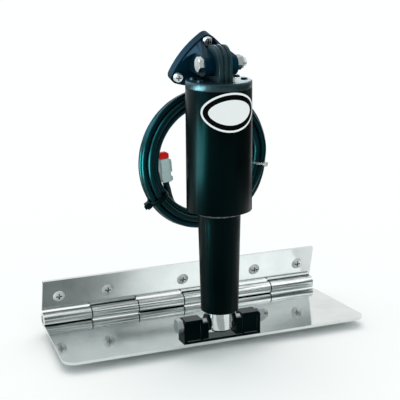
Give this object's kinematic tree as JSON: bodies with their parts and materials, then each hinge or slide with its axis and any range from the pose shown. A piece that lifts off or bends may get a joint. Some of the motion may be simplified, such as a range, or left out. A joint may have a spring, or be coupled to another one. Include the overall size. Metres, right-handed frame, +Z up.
{
  "type": "boat trim tab",
  "caption": "Boat trim tab: a polished blade on a knuckled transom hinge, set by an upright electric ram between a bracket on the blade and a domed clevis bracket, with a coiled lead.",
  "frame": {"origin": "middle of the part's footprint, on the surface that the blade lies on", "axes": "+X along the hinge to starboard, +Y forward to the transom, +Z up"},
  "size_m": [0.3206, 0.1596, 0.3003],
  "materials": {
    "polished_stainless": "mirror polished",
    "plated_steel": "zinc plated",
    "drive_steel": "machined",
    "black_nylon": "satin moulded",
    "grey_nylon": "satin moulded",
    "red_nylon": "satin moulded",
    "clear_nylon": "satin moulded",
    "white_plate": "gloss",
    "bronze": "machined",
    "black_rubber": "satin"
  },
  "bodies": {
    "leaf": {"transom_leaf": "polished_stainless", "hinge_pin": "polished_stainless", "leaf_screws": "polished_stainless"},
    "blade": {"blade": "polished_stainless", "lower_bracket": "black_nylon", "lower_bracket_screws": "plated_steel", "lower_bolt": "polished_stainless", "lower_nut": "polished_stainless", "lower_spacers": "black_nylon"},
    "ram": {"ram_rod": "polished_stainless", "ram_bush": "bronze", "drive_nut": "bronze"},
    "actuator": {"actuator_housing": "black_nylon", "wiper_seal": "black_rubber", "guide_bush": "grey_nylon", "bearing_plate": "plated_steel", "thrust_bearing": "drive_steel", "gearbox": "plated_steel", "motor": "plated_steel", "cap_gasket": "black_rubber", "top_cap": "black_nylon", "cap_screws": "polished_stainless", "eye_bush": "bronze", "oval_plate": "white_plate", "cable_gland": "black_rubber", "cable_lead": "black_rubber", "cable_coil": "black_rubber", "black_tie": "black_nylon", "clear_tie": "clear_nylon", "cable_tail": "black_rubber", "connector_body": "grey_nylon", "connector_wedge": "red_nylon"},
    "lead_screw": {"lead_screw": "drive_steel"},
    "upper_bracket": {"upper_bracket": "black_nylon", "upper_bolt": "polished_stainless", "upper_nut": "polished_stainless", "upper_bracket_screws": "polished_stainless"}
  },
  "joints": [
    {"name": "blade_hinge", "type": "hinge", "parent": "leaf", "child": "blade", "pos_m": [0, 0.05332, 0.008], "axis": [1, 0, 0], "range_deg": [-5, 40]},
    {"name": "lower_pivot", "type": "hinge", "parent": "blade", "child": "ram", "pos_m": [0, -0.04788, 0.0197], "axis": [1, 0, 0], "range_deg": [-32, 4]},
    {"name": "ram_slide", "type": "slide", "parent": "ram", "child": "actuator", "axis": [0, 0, 1], "range_m": [0, 0.057]},
    {"name": "screw_spin", "type": "hinge", "parent": "actuator", "child": "lead_screw", "pos_m": [0, -0.04788, 0.1], "axis": [0, 0, 1], "range_deg": [0, 5140]},
    {"name": "upper_pivot", "type": "hinge", "parent": "actuator", "child": "upper_bracket", "pos_m": [0, -0.04788, 0.2737], "axis": [1, 0, 0], "range_deg": [-2, 30]}
  ],
  "couplings": [
    {"joint": "screw_spin", "follows": "ram_slide", "rad_per_m": 1570.8}
  ]
}
